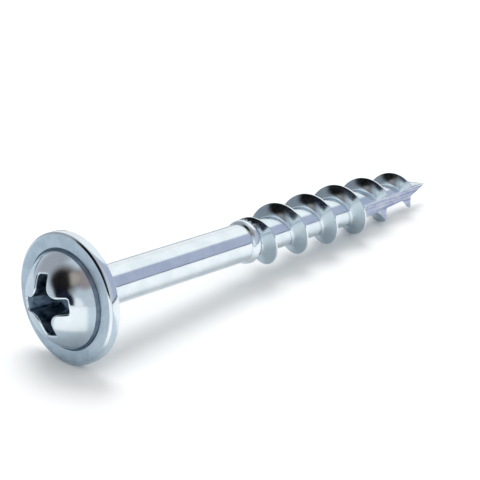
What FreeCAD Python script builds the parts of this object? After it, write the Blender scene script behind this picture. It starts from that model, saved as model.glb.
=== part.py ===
import FreeCAD, Part
import math
import os

import Sketcher

# Pocket hole screw with a washer head, a cross recess, a coarse right-hand thread and an auger point.
# Local frame of the screw: the bearing face under the head is at X = 0 and the tip points along +X.
# The finished screw lies on its flange rim and its thread, with Z = 0 as the surface it lies on.
# Angles around the axis run from local +Y towards local +Z.

NODE = "pocket_screw"

# Driving dimensions in millimetres and degrees: name, value, what it measures.
DIMENSIONS = (
    ("under_head_length", 38.1, "bearing face to tip"),
    ("flange_diameter", 9.0, "washer flange"),
    ("flange_thickness", 0.8, "washer flange"),
    ("flange_top_bevel", 0.22, "rim of the flange, driving side"),
    ("flange_rim_bevel", 0.13, "rim of the flange, bearing side"),
    ("dome_diameter", 6.8, "raised head where it meets the flange"),
    ("dome_height", 2.05, "flange top to the crown"),
    ("dome_side_radius", 3.4, "side of the raised head, in section"),
    ("dome_crown_radius", 6.0, "top of the raised head, in section"),
    ("underhead_fillet", 1.8, "hollow between bearing face and shank"),
    ("shank_diameter", 2.8, "plain shank"),
    ("collar_diameter", 3.25, "rolled bead where the thread begins"),
    ("collar_land", 0.45, "level part of the bead"),
    ("thread_length", 21.7, "collar centre to tip"),
    ("core_diameter", 2.5, "root of the thread"),
    ("taper_length", 9.4, "start of the tapered core to the tip"),
    ("point_length", 2.6, "start of the sharp point to the tip"),
    ("point_base_diameter", 1.45, "core where the sharp point starts"),
    ("thread_height", 0.87, "core to crest"),
    ("thread_pitch", 3.4, "crest to crest"),
    ("thread_root_width", 1.15, "ridge at the core"),
    ("thread_crest_width", 0.14, "land on the crest"),
    ("thread_runin_turns", 0.5, "turns over which the ridge rises"),
    ("thread_runout_turns", 0.35, "turns over which the ridge sinks"),
    ("thread_start_lead", 0.58, "first trace of the ridge to the collar centre"),
    ("thread_tip_gap", 2.0, "last trace of the ridge to the tip"),
    ("thread_start_angle", 342.0, "where around the axis the ridge starts"),
    ("recess_span", 4.7, "wing end to wing end, level with the crown"),
    ("recess_floor_span", 2.4, "wing end to wing end, on the floor"),
    ("recess_wing_width", 1.05, "wing, level with the crown"),
    ("recess_floor_wing_width", 0.7, "wing, on the floor"),
    ("recess_corner_round", 0.85, "lobe between two wings, level with the crown"),
    ("recess_floor_corner_round", 0.45, "lobe between two wings, on the floor"),
    ("recess_depth", 2.3, "crown to the floor of the wings"),
    ("recess_cone_diameter", 1.2, "drill cone in the floor"),
    ("recess_cone_depth", 0.3, "drill cone in the floor"),
    ("recess_angle", 76.0, "turn of the wings around the axis"),
    ("flute_length", 9.4, "start of the auger flute to the tip"),
    ("flute_angle", 100.0, "opening of the flute's V section"),
    ("flute_start_offset", 0.5, "axis to the flute's root line, at its start"),
    ("flute_tip_offset", 0.06, "axis to the flute's root line, at the tip"),
    ("flute_direction", 190.0, "side of the screw that the flute opens to"),
)

# Values of the modelling itself, not of the screw.
OVERRUN = 0.2  # how far a cutting shape starts outside the solid
ROOT_SINK = 0.15  # how deep the ridge's root lies inside the core
FADED_SINK = 0.05  # how deep the crest lies inside the core where the ridge has faded out
FADED_WIDTH = 0.5  # share of the ridge's width that is left where it has faded out
STEPS_PER_TURN = 12  # support points of the helical edges

X_AXIS = FreeCAD.Vector(1, 0, 0)
Y_AXIS = FreeCAD.Vector(0, 1, 0)
NORMAL = FreeCAD.Vector(0, 0, 1)

ROOT_POINT = (-1, 1)
SKETCH_X_AXIS = -1
SKETCH_Y_AXIS = -2
START, END, CENTRE = 1, 2, 3


def make_sheet(doc):
    """Spreadsheet with one named cell per driving dimension."""
    sheet = doc.addObject("Spreadsheet::Sheet", "dims")
    for row, (alias, value, note) in enumerate(DIMENSIONS, start=1):
        sheet.set(f"A{row}", alias)
        sheet.set(f"B{row}", str(value))
        sheet.set(f"C{row}", note)
        sheet.setAlias(f"B{row}", alias)
    doc.recompute()
    return sheet


def plane_of(body, role):
    """One of the body's own origin planes."""
    return next(feature for feature in body.Origin.OriginFeatures if feature.Role == role)


def add_sketch(body, role, name):
    """Empty sketch on an origin plane of its body."""
    sketch = body.newObject("Sketcher::SketchObject", name)
    sketch.AttachmentSupport = [(plane_of(body, role), "")]
    sketch.MapMode = "FlatFace"
    return sketch


def line(start, end):
    """Straight sketch edge."""
    return Part.LineSegment(FreeCAD.Vector(*start, 0), FreeCAD.Vector(*end, 0))


def arc(centre, radius, first, last):
    """Sketch arc, anticlockwise between two angles in radians."""
    circle = Part.Circle(FreeCAD.Vector(*centre, 0), NORMAL, radius)
    return Part.ArcOfCircle(circle, first, last)


def constrain(sketch, kind, *refs):
    """Geometric constraint without a size."""
    sketch.addConstraint(Sketcher.Constraint(kind, *refs))


def dimension(sketch, name, expression, kind, *refs):
    """Named size that follows an expression of the sheet's cells; refs end with its first value."""
    index = sketch.addConstraint(Sketcher.Constraint(kind, *refs))
    sketch.renameConstraint(index, name)
    sketch.setExpression(f"Constraints.{name}", expression)


def meeting_point(first, first_distance, second, second_distance):
    """Point at the given distances from two points, on the right of the way from the first to the second."""
    across, up = second[0] - first[0], second[1] - first[1]
    gap = math.hypot(across, up)
    along = (first_distance**2 - second_distance**2 + gap**2) / (2 * gap)
    aside = math.sqrt(first_distance**2 - along**2)
    return (
        first[0] + (along * across + aside * up) / gap,
        first[1] + (along * up - aside * across) / gap,
    )


def draw_half_section(sketch, d):
    """Half section of the turned blank, from the crown along the head, shank and core to the tip."""
    flange_top = -d.flange_thickness
    crown = flange_top - d.dome_height
    flange_radius, dome_radius = d.flange_diameter / 2, d.dome_diameter / 2
    shank_radius, core_radius = d.shank_diameter / 2, d.core_diameter / 2
    top_bevel, rim_bevel = d.flange_top_bevel, d.flange_rim_bevel
    hollow = d.underhead_fillet

    # The crown's arc is centred on the axis; the side's arc touches it and ends on the flange.
    dome_edge, crown_centre = (flange_top, dome_radius), (crown + d.dome_crown_radius, 0)
    side_centre = meeting_point(
        dome_edge, d.dome_side_radius, crown_centre, d.dome_crown_radius - d.dome_side_radius
    )
    touch = math.atan2(side_centre[1], side_centre[0] - crown_centre[0])
    side_end = math.atan2(dome_radius - side_centre[1], flange_top - side_centre[0])

    collar_x = d.under_head_length - d.thread_length
    collar_radius = d.collar_diameter / 2
    land_start = (collar_x - d.collar_land / 2, collar_radius)
    land_end = (collar_x + d.collar_land / 2, collar_radius)
    collar_rise, collar_fall = collar_radius - shank_radius, collar_radius - core_radius
    bead_start = (land_start[0] - collar_rise, shank_radius)
    bead_end = (land_end[0] + collar_fall, core_radius)
    taper_start = (d.under_head_length - d.taper_length, core_radius)
    point_start = (d.under_head_length - d.point_length, d.point_base_diameter / 2)
    tip = (d.under_head_length, 0)

    quarter = math.pi / 2
    edges = {
        "crown": arc(crown_centre, d.dome_crown_radius, touch, math.pi),
        "dome_side": arc(side_centre, d.dome_side_radius, side_end, touch),
        "flange_top": line(dome_edge, (flange_top, flange_radius - top_bevel)),
        "top_bevel": line((flange_top, flange_radius - top_bevel), (flange_top + top_bevel, flange_radius)),
        "rim": line((flange_top + top_bevel, flange_radius), (-rim_bevel, flange_radius)),
        "rim_bevel": line((-rim_bevel, flange_radius), (0, flange_radius - rim_bevel)),
        "bearing": line((0, flange_radius - rim_bevel), (0, shank_radius + hollow)),
        "hollow": arc((hollow, shank_radius + hollow), hollow, math.pi, 3 * quarter),
        "shank": line((hollow, shank_radius), bead_start),
        "collar_rise": line(bead_start, land_start),
        "collar_land": line(land_start, land_end),
        "collar_fall": line(land_end, bead_end),
        "core": line(bead_end, taper_start),
        "taper": line(taper_start, point_start),
        "point": line(point_start, tip),
        "axis": line(tip, (crown, 0)),
    }
    at = {name: sketch.addGeometry(edge, False) for name, edge in edges.items()}

    smooth = (
        ("crown", START, "dome_side", END),
        ("bearing", END, "hollow", START),
        ("hollow", END, "shank", START),
    )
    for first, first_end, second, second_end in smooth:
        constrain(sketch, "Tangent", at[first], first_end, at[second], second_end)
    sharp = (
        ("dome_side", START, "flange_top", START),
        ("flange_top", END, "top_bevel", START),
        ("top_bevel", END, "rim", START),
        ("rim", END, "rim_bevel", START),
        ("rim_bevel", END, "bearing", START),
        ("shank", END, "collar_rise", START),
        ("collar_rise", END, "collar_land", START),
        ("collar_land", END, "collar_fall", START),
        ("collar_fall", END, "core", START),
        ("core", END, "taper", START),
        ("taper", END, "point", START),
        ("point", END, "axis", START),
        ("axis", END, "crown", END),
    )
    for first, first_end, second, second_end in sharp:
        constrain(sketch, "Coincident", at[first], first_end, at[second], second_end)
    for name, end in (("crown", CENTRE), ("crown", END), ("point", END)):
        constrain(sketch, "PointOnObject", at[name], end, SKETCH_X_AXIS)
    constrain(sketch, "PointOnObject", at["bearing"], START, SKETCH_Y_AXIS)
    for name in ("flange_top", "bearing"):
        constrain(sketch, "Vertical", at[name])
    for name in ("rim", "shank", "collar_land", "core"):
        constrain(sketch, "Horizontal", at[name])

    radii = (
        ("crown", "dims.dome_crown_radius", d.dome_crown_radius),
        ("dome_side", "dims.dome_side_radius", d.dome_side_radius),
        ("hollow", "dims.underhead_fillet", hollow),
    )
    for name, expression, value in radii:
        dimension(sketch, f"{name}_radius", expression, "Radius", at[name], value)
    heights = (
        ("dome_side", START, "dims.dome_diameter / 2", dome_radius),
        ("rim", START, "dims.flange_diameter / 2", flange_radius),
        ("shank", START, "dims.shank_diameter / 2", shank_radius),
        ("collar_land", START, "dims.collar_diameter / 2", collar_radius),
        ("core", START, "dims.core_diameter / 2", core_radius),
        ("taper", END, "dims.point_base_diameter / 2", point_start[1]),
    )
    for name, end, expression, value in heights:
        dimension(sketch, f"{name}_height", expression, "DistanceY", *ROOT_POINT, at[name], end, value)
    bevels = (
        ("top_bevel", START, END, "dims.flange_top_bevel", top_bevel),
        ("rim_bevel", END, START, "dims.flange_rim_bevel", rim_bevel),
    )
    for name, low, high, expression, value in bevels:
        dimension(sketch, f"{name}_height", expression, "DistanceY", at[name], low, at[name], high, value)
    top, crown_end, tip_end = (at["flange_top"], START), (at["crown"], END), (at["point"], END)
    land = (at["collar_land"], START), (at["collar_land"], END)
    lengths = (
        ("flange_thickness", (*top, *ROOT_POINT), "dims.flange_thickness", d.flange_thickness),
        ("dome_height", (*crown_end, *top), "dims.dome_height", d.dome_height),
        ("top_bevel_depth", (*top, at["top_bevel"], END), "dims.flange_top_bevel", top_bevel),
        ("rim_bevel_depth", (at["rim_bevel"], START, *ROOT_POINT), "dims.flange_rim_bevel", rim_bevel),
        ("length", (*ROOT_POINT, *tip_end), "dims.under_head_length", d.under_head_length),
        (
            "collar_place",
            (at["collar_land"], END, *tip_end),
            "dims.thread_length - dims.collar_land / 2",
            d.thread_length - d.collar_land / 2,
        ),
        ("land_length", (*land[0], *land[1]), "dims.collar_land", d.collar_land),
        (
            "rise_length",
            (at["collar_rise"], START, *land[0]),
            "(dims.collar_diameter - dims.shank_diameter) / 2",
            collar_rise,
        ),
        (
            "fall_length",
            (*land[1], at["collar_fall"], END),
            "(dims.collar_diameter - dims.core_diameter) / 2",
            collar_fall,
        ),
        ("taper_length", (at["taper"], START, *tip_end), "dims.taper_length", d.taper_length),
        ("point_length", (at["point"], START, *tip_end), "dims.point_length", d.point_length),
    )
    for name, refs, expression, value in lengths:
        dimension(sketch, name, expression, "DistanceX", *refs, value)


def draw_cross(sketch, sizes):
    """Cross of four wings with rounded lobes between them; sizes holds (expression, value) pairs."""
    reach, half_width, lobe = (sizes[key][1] for key in ("reach", "half_width", "lobe"))
    inner = half_width + lobe
    ends, lobes = [], []
    for quadrant in range(4):
        turn = quadrant * math.pi / 2

        def turned(across, along, turn=turn):
            """Point of the wing that points along +X, turned to this quadrant."""
            return (
                across * math.cos(turn) - along * math.sin(turn),
                across * math.sin(turn) + along * math.cos(turn),
            )

        wing_end = sketch.addGeometry(line(turned(reach, -half_width), turned(reach, half_width)), False)
        near_side = sketch.addGeometry(line(turned(reach, half_width), turned(inner, half_width)), False)
        corner = sketch.addGeometry(
            arc(turned(inner, inner), lobe, turn + math.pi, turn + 1.5 * math.pi), False
        )
        far_side = sketch.addGeometry(line(turned(half_width, inner), turned(half_width, reach)), False)
        upright = quadrant % 2 == 0
        constrain(sketch, "Coincident", wing_end, END, near_side, START)
        constrain(sketch, "Tangent", near_side, END, corner, END)
        constrain(sketch, "Tangent", corner, START, far_side, START)
        constrain(sketch, "Horizontal" if upright else "Vertical", near_side)
        constrain(sketch, "Vertical" if upright else "Horizontal", far_side)
        constrain(
            sketch, "Symmetric", wing_end, START, wing_end, END, SKETCH_X_AXIS if upright else SKETCH_Y_AXIS
        )
        ends.append((wing_end, far_side))
        lobes.append(corner)
    for quadrant in range(4):
        next_end = ends[(quadrant + 1) % 4][0]
        constrain(sketch, "Coincident", ends[quadrant][1], END, next_end, START)
        if quadrant:
            constrain(sketch, "Equal", ends[0][0], ends[quadrant][0])
            constrain(sketch, "Equal", lobes[0], lobes[quadrant])
    expression, value = sizes["lobe"]
    dimension(sketch, "lobe_radius", expression, "Radius", lobes[0], value)
    expression, value = sizes["half_width"]
    dimension(sketch, "wing_half_width", expression, "DistanceY", *ROOT_POINT, ends[0][0], END, value)
    expression, value = sizes["reach"]
    right, upper, left, lower = (pair[0] for pair in ends)
    for name, kind, refs in (
        ("reach_right", "DistanceX", (*ROOT_POINT, right, END)),
        ("reach_upper", "DistanceY", (*ROOT_POINT, upper, END)),
        ("reach_left", "DistanceX", (left, END, *ROOT_POINT)),
        ("reach_lower", "DistanceY", (lower, END, *ROOT_POINT)),
    ):
        dimension(sketch, name, expression, kind, *refs, value)


def extended(crown_alias, floor_alias, d, share=1.0):
    """A recess size carried on in a straight line from the floor past the crown by the overrun."""
    crown, floor = getattr(d, crown_alias), getattr(d, floor_alias)
    beyond = 1 + OVERRUN / d.recess_depth
    expression = (
        f"{share} * (dims.{floor_alias} + (dims.{crown_alias} - dims.{floor_alias})"
        f" * (1 + {OVERRUN} / dims.recess_depth))"
    )
    return expression, share * (floor + (crown - floor) * beyond)


def cut_recess(body, d):
    """Tapered cross recess with a drill cone in its floor."""
    mouth = add_sketch(body, "YZ_Plane", "recess_mouth")
    mouth.setExpression(
        "AttachmentOffset.Base.z", f"-(dims.flange_thickness + dims.dome_height + {OVERRUN})"
    )
    draw_cross(
        mouth,
        {
            "reach": extended("recess_span", "recess_floor_span", d, 0.5),
            "half_width": extended("recess_wing_width", "recess_floor_wing_width", d, 0.5),
            "lobe": extended("recess_corner_round", "recess_floor_corner_round", d),
        },
    )
    floor = add_sketch(body, "YZ_Plane", "recess_floor")
    floor_place = "dims.recess_depth - dims.flange_thickness - dims.dome_height"
    floor.setExpression("AttachmentOffset.Base.z", floor_place)
    draw_cross(
        floor,
        {
            "reach": ("dims.recess_floor_span / 2", d.recess_floor_span / 2),
            "half_width": ("dims.recess_floor_wing_width / 2", d.recess_floor_wing_width / 2),
            "lobe": ("dims.recess_floor_corner_round", d.recess_floor_corner_round),
        },
    )
    for sketch in (mouth, floor):
        sketch.setExpression("AttachmentOffset.Rotation.Angle", "dims.recess_angle")
    wings = body.newObject("PartDesign::SubtractiveLoft", "recess_wings")
    wings.Profile = mouth
    wings.Sections = [floor]
    wings.Ruled = True

    cone_sketch = add_sketch(body, "XY_Plane", "recess_cone_section")
    floor_x = d.recess_depth - d.flange_thickness - d.dome_height
    cone_radius = d.recess_cone_diameter / 2
    deepest = floor_x + d.recess_cone_depth
    wall, slope, axis = (
        cone_sketch.addGeometry(edge, False)
        for edge in (
            line((floor_x, 0), (floor_x, cone_radius)),
            line((floor_x, cone_radius), (deepest, 0)),
            line((deepest, 0), (floor_x, 0)),
        )
    )
    constrain(cone_sketch, "Coincident", wall, END, slope, START)
    constrain(cone_sketch, "Coincident", slope, END, axis, START)
    constrain(cone_sketch, "Coincident", axis, END, wall, START)
    constrain(cone_sketch, "Vertical", wall)
    constrain(cone_sketch, "PointOnObject", axis, START, SKETCH_X_AXIS)
    constrain(cone_sketch, "PointOnObject", axis, END, SKETCH_X_AXIS)
    floor_expression = "dims.flange_thickness + dims.dome_height - dims.recess_depth"
    for name, expression, kind, refs in (
        ("floor_place", floor_expression, "DistanceX", (axis, END, *ROOT_POINT, -floor_x)),
        ("radius", "dims.recess_cone_diameter / 2", "DistanceY", (wall, START, wall, END, cone_radius)),
        ("depth", "dims.recess_cone_depth", "DistanceX", (axis, END, axis, START, d.recess_cone_depth)),
    ):
        dimension(cone_sketch, name, expression, kind, *refs)
    cone = body.newObject("PartDesign::Groove", "recess_cone")
    cone.Profile = cone_sketch
    cone.ReferenceAxis = (cone_sketch, ["H_Axis"])
    cone.Angle = 360


def make_blank(doc, d):
    """Head, shank, collar and core as one turned body, with the recess cut into its crown."""
    body = doc.addObject("PartDesign::Body", "screw_blank")
    section = add_sketch(body, "XY_Plane", "half_section")
    draw_half_section(section, d)
    turned = body.newObject("PartDesign::Revolution", "turned_blank")
    turned.Profile = section
    turned.ReferenceAxis = (section, ["H_Axis"])
    turned.Angle = 360
    doc.recompute()
    cut_recess(body, d)
    doc.recompute()
    return body


def core_radius_at(x, d):
    """Radius of the core under the thread, at a distance x from the bearing face."""
    left = d.under_head_length - x
    core, point = d.core_diameter / 2, d.point_base_diameter / 2
    if left >= d.taper_length:
        return core
    if left >= d.point_length:
        return point + (core - point) * (left - d.point_length) / (d.taper_length - d.point_length)
    return point * max(left, 0) / d.point_length


def smooth_step(share):
    """0 to 1 with a level start and end."""
    share = min(max(share, 0), 1)
    return share * share * (3 - 2 * share)


def thread_stations(d):
    """Centre place, angle and fullness of the ridge along its helix."""
    first = d.under_head_length - d.thread_length - d.thread_start_lead
    last = d.under_head_length - d.thread_tip_gap
    turns = (last - first) / d.thread_pitch
    count = math.ceil(turns * STEPS_PER_TURN)
    for index in range(count + 1):
        done = turns * index / count
        fullness = smooth_step(done / d.thread_runin_turns) * smooth_step(
            (turns - done) / d.thread_runout_turns
        )
        angle = math.radians(d.thread_start_angle) + 2 * math.pi * done
        yield first + d.thread_pitch * done, angle, fullness


def ridge_corners(x, fullness, d):
    """Corners of the ridge's section as (place, radius): root and crest, head side first."""
    core = core_radius_at(x, d)
    height = d.thread_height * fullness - FADED_SINK * (1 - fullness)
    width = FADED_WIDTH + (1 - FADED_WIDTH) * fullness
    half_crest = d.thread_crest_width / 2 * width
    lean = (d.thread_root_width - d.thread_crest_width) / 2 / d.thread_height
    half_root = d.thread_root_width / 2 * width + ROOT_SINK * lean
    return (
        (x - half_root, core_radius_at(x - half_root, d) - ROOT_SINK),
        (x - half_crest, core + height),
        (x + half_crest, core + height),
        (x + half_root, core_radius_at(x + half_root, d) - ROOT_SINK),
    )


def around(x, radius, angle):
    """Point at a radius and an angle around the screw's axis."""
    return FreeCAD.Vector(x, radius * math.cos(angle), radius * math.sin(angle))


def make_thread_ridge(doc, d):
    """Right-hand ridge whose depth follows the tapered core and fades out at both ends."""
    rails = [[], [], [], []]
    marks = []
    for x, angle, fullness in thread_stations(d):
        marks.append(angle)
        for rail, (place, radius) in zip(rails, ridge_corners(x, fullness, d)):
            rail.append(around(place, radius, angle))
    curves = []
    for rail in rails:
        curve = Part.BSplineCurve()
        curve.interpolate(Points=rail, Parameters=marks)
        curves.append(curve)

    # Each turn gets faces of its own, because a face that winds around many times doesn't fuse well.
    turns = math.ceil((marks[-1] - marks[0]) / (2 * math.pi))
    joints = [marks[0] + (marks[-1] - marks[0]) * turn / turns for turn in range(turns + 1)]
    faces = [Part.Face(Part.makePolygon([rail[end] for rail in (*rails, rails[0])])) for end in (0, -1)]
    for start, end in zip(joints, joints[1:]):
        edges = [curve.toShape(start, end) for curve in curves]
        faces += [Part.makeRuledSurface(edges[side - 1], edges[side], 1) for side in range(4)]
    shell = Part.makeShell(faces)
    shell.sewShape()
    solid = Part.makeSolid(shell)
    if solid.Volume < 0:
        solid.reverse()
    ridge = doc.addObject("Part::Feature", "thread_ridge")
    ridge.Shape = solid
    return ridge


def draw_flute_section(sketch, offset, offset_expression, d):
    """Triangle whose corner is the root of the V flute and whose far side lies outside the thread."""
    half_angle = math.radians(d.flute_angle / 2)
    reach = d.core_diameter / 2 + d.thread_height + OVERRUN
    reach_expression = f"dims.core_diameter / 2 + dims.thread_height + {OVERRUN}"
    half_mouth = (reach - offset) * math.tan(half_angle)
    lower, mouth, upper = (
        sketch.addGeometry(edge, False)
        for edge in (
            line((offset, 0), (reach, -half_mouth)),
            line((reach, -half_mouth), (reach, half_mouth)),
            line((reach, half_mouth), (offset, 0)),
        )
    )
    constrain(sketch, "Coincident", lower, END, mouth, START)
    constrain(sketch, "Coincident", mouth, END, upper, START)
    constrain(sketch, "Coincident", upper, END, lower, START)
    constrain(sketch, "PointOnObject", lower, START, SKETCH_X_AXIS)
    constrain(sketch, "Symmetric", mouth, START, mouth, END, SKETCH_X_AXIS)
    dimension(sketch, "root_offset", offset_expression, "DistanceX", *ROOT_POINT, lower, START, offset)
    dimension(sketch, "reach", reach_expression, "DistanceX", *ROOT_POINT, mouth, START, reach)
    mouth_expression = f"({reach_expression} - ({offset_expression})) * tan(dims.flute_angle / 2 * 1 deg)"
    dimension(sketch, "half_mouth", mouth_expression, "DistanceY", *ROOT_POINT, mouth, END, half_mouth)


def make_flute_cutter(doc, d):
    """V-shaped body for the auger flute; its root line nears the axis towards the tip."""
    body = doc.addObject("PartDesign::Body", "flute_cutter")
    start = add_sketch(body, "YZ_Plane", "flute_start")
    start.setExpression("AttachmentOffset.Base.z", "dims.under_head_length - dims.flute_length")
    draw_flute_section(start, d.flute_start_offset, "dims.flute_start_offset", d)
    end = add_sketch(body, "YZ_Plane", "flute_end")
    end.setExpression("AttachmentOffset.Base.z", "dims.under_head_length")
    draw_flute_section(end, d.flute_tip_offset, "dims.flute_tip_offset", d)
    loft = body.newObject("PartDesign::AdditiveLoft", "flute_body")
    loft.Profile = start
    loft.Sections = [end]
    loft.Ruled = True
    body.Placement = FreeCAD.Placement(FreeCAD.Vector(), FreeCAD.Rotation(X_AXIS, d.flute_direction))
    body.setExpression("Placement.Rotation.Angle", "dims.flute_direction")
    doc.recompute()
    return body


def combine(doc, kind, name, base, tool):
    """Boolean of two objects of the document."""
    result = doc.addObject(kind, name)
    result.Base = base
    result.Tool = tool
    doc.recompute()
    return result


def lay_down(screw, d):
    """Turn the screw onto its flange rim and its lowest crests, centred over the origin."""
    rim = d.flange_diameter / 2
    slopes = []
    for x, angle, fullness in thread_stations(d):
        crest = ridge_corners(x, fullness, d)[2]
        slopes.append((rim + around(*crest, angle).z) / crest[0])
    tilt = FreeCAD.Rotation(Y_AXIS, math.degrees(math.atan(min(slopes))))
    screw.Placement = FreeCAD.Placement(FreeCAD.Vector(), tilt)
    box = screw.Shape.optimalBoundingBox(False, False)
    middle = FreeCAD.Vector((box.XMin + box.XMax) / 2, (box.YMin + box.YMax) / 2, box.ZMin)
    screw.Placement = FreeCAD.Placement(-middle, tilt)


def check(doc, screw):
    """Stop if a feature failed or changed nothing, or if the finished screw is not one sound solid."""
    for item in doc.Objects:
        if "Invalid" in item.State or "Error" in item.State:
            raise RuntimeError(f"{item.Label} failed: {item.State}")
    smaller_and_larger = (
        ("recess_wings", "turned_blank"),
        ("recess_cone", "recess_wings"),
        ("milled_blank", "screw_blank"),
        ("milled_ridge", "thread_ridge"),
        ("milled_blank", screw.Name),
    )
    for smaller, larger in smaller_and_larger:
        if doc.getObject(smaller).Shape.Volume >= doc.getObject(larger).Shape.Volume:
            raise RuntimeError(f"{smaller} is not smaller than {larger}")
    shape = screw.Shape
    if shape.isNull() or not shape.isValid() or len(shape.Solids) != 1:
        raise RuntimeError(f"{screw.Label} is not one valid solid")


def main():
    doc = FreeCAD.newDocument("pocket_hole_screw")
    d = make_sheet(doc)
    blank = make_blank(doc, d)
    ridge = make_thread_ridge(doc, d)
    cutter = make_flute_cutter(doc, d)
    milled_blank = combine(doc, "Part::Cut", "milled_blank", blank, cutter)
    milled_ridge = combine(doc, "Part::Cut", "milled_ridge", ridge, cutter)
    screw = combine(doc, "Part::Fuse", NODE, milled_blank, milled_ridge)
    screw.Label = NODE
    lay_down(screw, d)
    check(doc, screw)
    os.makedirs("parts", exist_ok=True)
    screw.Shape.exportStep(os.path.join("parts", f"{screw.Label}.step"))
    box = screw.Shape.optimalBoundingBox(False, False)
    print(f"{NODE}: {screw.Shape.Volume:.2f} mm3, {box.XLength:.2f} x {box.YLength:.2f} x {box.ZLength:.2f}")


main()
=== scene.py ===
"""Pocket hole screw: washer head with a cross recess, plain shank, coarse thread and fluted point."""
import logging
import math
from dataclasses import dataclass, field
from enum import Enum

import bpy
import numpy as np
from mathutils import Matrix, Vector


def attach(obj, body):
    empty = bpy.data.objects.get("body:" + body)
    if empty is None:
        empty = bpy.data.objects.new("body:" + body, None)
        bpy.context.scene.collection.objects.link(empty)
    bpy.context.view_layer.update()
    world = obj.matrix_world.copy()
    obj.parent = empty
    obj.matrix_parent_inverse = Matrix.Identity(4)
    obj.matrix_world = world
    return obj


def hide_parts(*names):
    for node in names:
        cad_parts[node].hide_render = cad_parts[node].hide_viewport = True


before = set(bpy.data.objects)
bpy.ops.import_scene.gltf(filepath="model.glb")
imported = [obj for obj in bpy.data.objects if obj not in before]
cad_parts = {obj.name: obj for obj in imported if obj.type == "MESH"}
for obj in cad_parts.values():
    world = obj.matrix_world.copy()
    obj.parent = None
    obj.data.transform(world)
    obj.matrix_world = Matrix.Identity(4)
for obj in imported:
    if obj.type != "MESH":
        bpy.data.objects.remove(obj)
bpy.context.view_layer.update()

Colour = tuple[float, float, float]
Place = tuple[float, float, float]
Span = tuple[float, float]
Outline = list[tuple[float, float]]
Socket = bpy.types.NodeSocket

MILLIMETRE = 0.001
FULL_TURN = 2 * math.pi

log = logging.getLogger("pocket_screw")


class Zone(Enum):
    """Surfaces of the screw that look different; the value is the material's place on the mesh."""

    BRIGHT = 0
    SATIN = 1
    # RECESS: its near-black colour is painted shade, the shade that falls deep in the cross recess.
    RECESS = 2
    THREAD = 3
    MILLED = 4
    # GROOVE: its dark colour is painted shade, a dark ring at the foot of the dome.
    GROOVE = 5


@dataclass(frozen=True)
class Lay:
    """Where the screw lies: its own frame has the bearing face at x = 0 and the tip along +x."""

    tip_down: float = 4.696891
    bearing_point: Place = (-17.5811, 0.0, 4.48566)

    def place(self, points: np.ndarray) -> np.ndarray:
        """Carry points from the screw's frame to the scene.

        Args:
            points: Rows of x, y, z in millimetres.

        Returns:
            Rows of x, y, z in metres.
        """
        angle = math.radians(self.tip_down)
        x, y, z = points.T
        turned = np.stack(
            [x * math.cos(angle) + z * math.sin(angle), y, z * math.cos(angle) - x * math.sin(angle)], axis=1
        )
        return (turned + np.array(self.bearing_point)) * MILLIMETRE


@dataclass
class Skin:
    """Surface that grows ring by ring, in the screw's own frame and in millimetres."""

    blocks: list[np.ndarray] = field(default_factory=list)
    count: int = 0
    faces: list[tuple[int, ...]] = field(default_factory=list)
    zones: list[int] = field(default_factory=list)

    def add(self, points: np.ndarray) -> np.ndarray:
        """Add points.

        Args:
            points: Rows of x, y, z.

        Returns:
            The indices of the new points.
        """
        self.blocks.append(points)
        self.count += len(points)
        return np.arange(self.count - len(points), self.count)

    def face(self, corners: tuple[int, ...], zone: Zone) -> None:
        """Add one face, without the corners that coincide.

        Args:
            corners: Indices of the corners, anticlockwise from outside.
            zone: Finish of the face.
        """
        kept = tuple(corner for place, corner in enumerate(corners) if corner != corners[place - 1])
        if len(kept) > 2:
            self.faces.append(kept)
            self.zones.append(zone.value)

    def join(self, first: np.ndarray, second: np.ndarray, zone: Zone) -> None:
        """Join two rings of equal count with a band of faces.

        The band faces away from the axis if the rings run from local +y towards +z and the first ring is
        the one nearer the tip.

        Args:
            first: Indices of one ring.
            second: Indices of the other ring.
            zone: Finish of the band.
        """
        for place in range(len(first)):
            after = (place + 1) % len(first)
            self.face((first[place], second[place], second[after], first[after]), zone)

    def fan(self, apex: int, ring: np.ndarray, zone: Zone, pit: bool) -> None:
        """Close a ring with triangles to one point on its tip side.

        Args:
            apex: Index of the point.
            ring: Indices of the ring.
            zone: Finish of the triangles.
            pit: Whether the triangles face the head, as the floor of a pit does.
        """
        for place in range(len(ring)):
            after = (place + 1) % len(ring)
            pair = (ring[place], ring[after])
            self.face((apex, *(reversed(pair) if pit else pair)), zone)

    def mesh(self, name: str, lay: Lay) -> bpy.types.Mesh:
        """Make a Blender mesh of the surface.

        Args:
            name: Name of the mesh.
            lay: Where the screw lies.

        Returns:
            The new mesh, with the zones as material indices.
        """
        mesh = bpy.data.meshes.new(name)
        mesh.from_pydata(lay.place(np.concatenate(self.blocks)).tolist(), [], self.faces)
        mesh.polygons.foreach_set("material_index", self.zones)
        mesh.update()
        return mesh


def rings_around(x: np.ndarray, radius: np.ndarray, angles: np.ndarray) -> np.ndarray:
    """Points at a distance from the axis.

    Args:
        x: Place of each point along the axis.
        radius: Distance of each point from the axis.
        angles: Angle of each point around the axis, from local +y towards +z.

    Returns:
        Rows of x, y, z.
    """
    x, radius, angles = np.broadcast_arrays(x, radius, angles)
    return np.stack([x, radius * np.cos(angles), radius * np.sin(angles)], axis=-1).reshape(-1, 3)


def arc(centre: tuple[float, float], radius: float, first: float, last: float, steps: int) -> Outline:
    """Points of an arc in a plane.

    Args:
        centre: Centre of the arc.
        radius: Radius of the arc.
        first: First angle in degrees, from the plane's first direction to its second.
        last: Last angle in degrees.
        steps: Number of chords.

    Returns:
        The points, both ends included.
    """
    angles = np.radians(np.linspace(first, last, steps + 1))
    return [(centre[0] + radius * math.cos(a), centre[1] + radius * math.sin(a)) for a in angles]


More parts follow.
